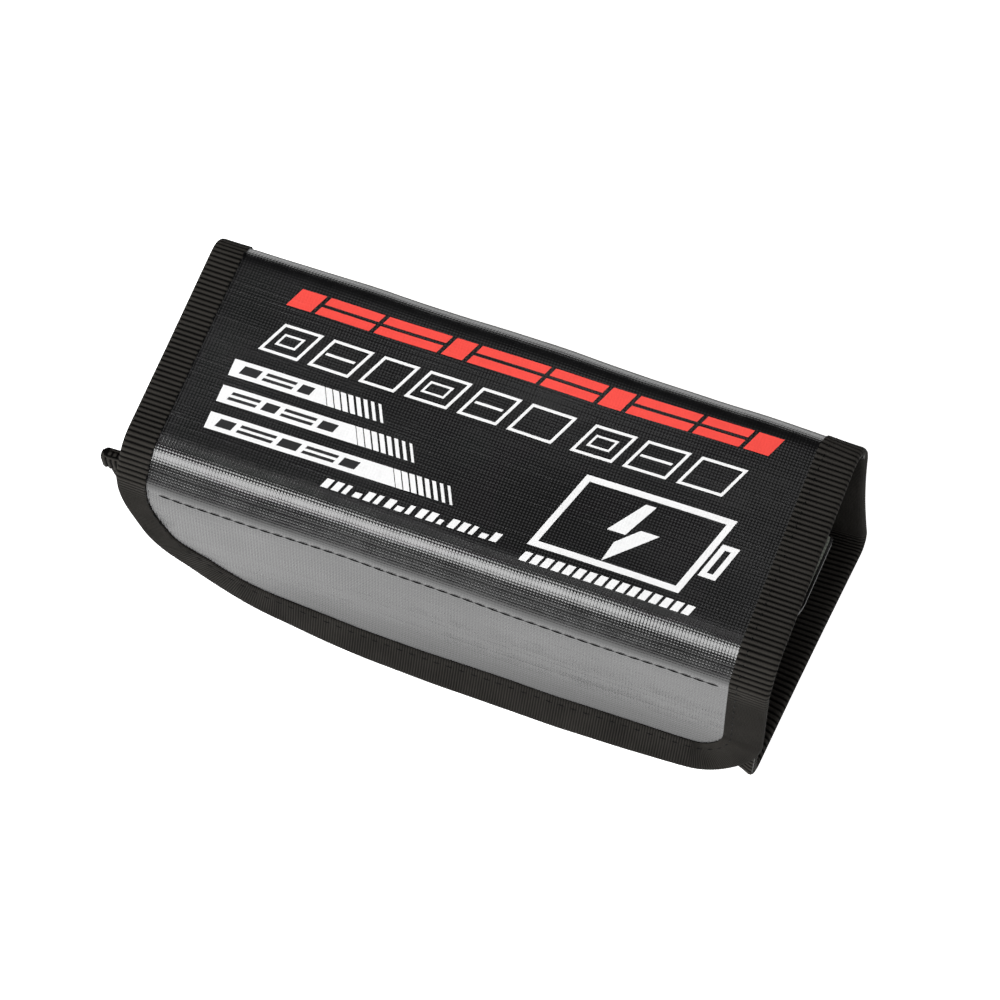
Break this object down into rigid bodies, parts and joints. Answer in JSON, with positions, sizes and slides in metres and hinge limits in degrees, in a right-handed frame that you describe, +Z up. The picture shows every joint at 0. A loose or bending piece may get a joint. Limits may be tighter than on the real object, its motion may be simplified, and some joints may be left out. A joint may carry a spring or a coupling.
{
  "type": "battery safety bag",
  "caption": "Soft rectangular bag of coated glass-fibre cloth for charging and storing battery packs, with a hinged lid and a hook-and-loop front flap.",
  "frame": {"origin": "underside of the bottom panel, midway between the two ends and close to midway between the front and back walls", "axes": "+X along the bag from the left end to the right end, +Y from the flap towards the back wall, +Z up through the lid"},
  "size_m": [0.192, 0.0833, 0.0604],
  "materials": {
    "coated_cloth": "black silicone-coated woven glass-fibre cloth, glossy",
    "lining_cloth": "uncoated woven glass-fibre cloth, pale greenish grey, matt",
    "binding_tape": "black ribbed woven tape, matt",
    "thread": "black twisted sewing thread",
    "hook_strip": "black hook fastener strip",
    "loop_strip": "black loop fastener strip, fuzzy pile"
  },
  "bodies": {
    "body": {"bottom_panel": "coated_cloth", "front_panel": "coated_cloth", "back_panel": "coated_cloth", "left_end_panel": "coated_cloth", "right_end_panel": "coated_cloth", "bottom_lining": "lining_cloth", "front_lining": "lining_cloth", "back_lining": "lining_cloth", "left_end_lining": "lining_cloth", "right_end_lining": "lining_cloth", "left_front_binding": "binding_tape", "right_front_binding": "binding_tape", "left_bottom_binding": "binding_tape", "right_bottom_binding": "binding_tape", "left_back_binding": "binding_tape", "right_back_binding": "binding_tape", "front_rim_binding": "binding_tape", "hook_strip": "hook_strip", "hook_strip_stitching": "thread"},
    "lid": {"lid_panel": "coated_cloth", "lid_lining": "lining_cloth", "left_lid_binding": "binding_tape", "right_lid_binding": "binding_tape"},
    "flap": {"flap_panel": "coated_cloth", "flap_lining": "lining_cloth", "flap_binding": "binding_tape", "loop_strip": "loop_strip", "flap_stitching": "thread"}
  },
  "joints": [
    {"name": "lid_hinge", "type": "hinge", "parent": "body", "child": "lid", "pos_m": [0, 0.03492, 0.05742], "axis": [-1, 0, 0], "range_deg": [0, 170]},
    {"name": "flap_fold", "type": "hinge", "parent": "lid", "child": "flap", "pos_m": [0, -0.03622, 0.05772], "axis": [-1, 0, 0], "range_deg": [0, 150]}
  ]
}
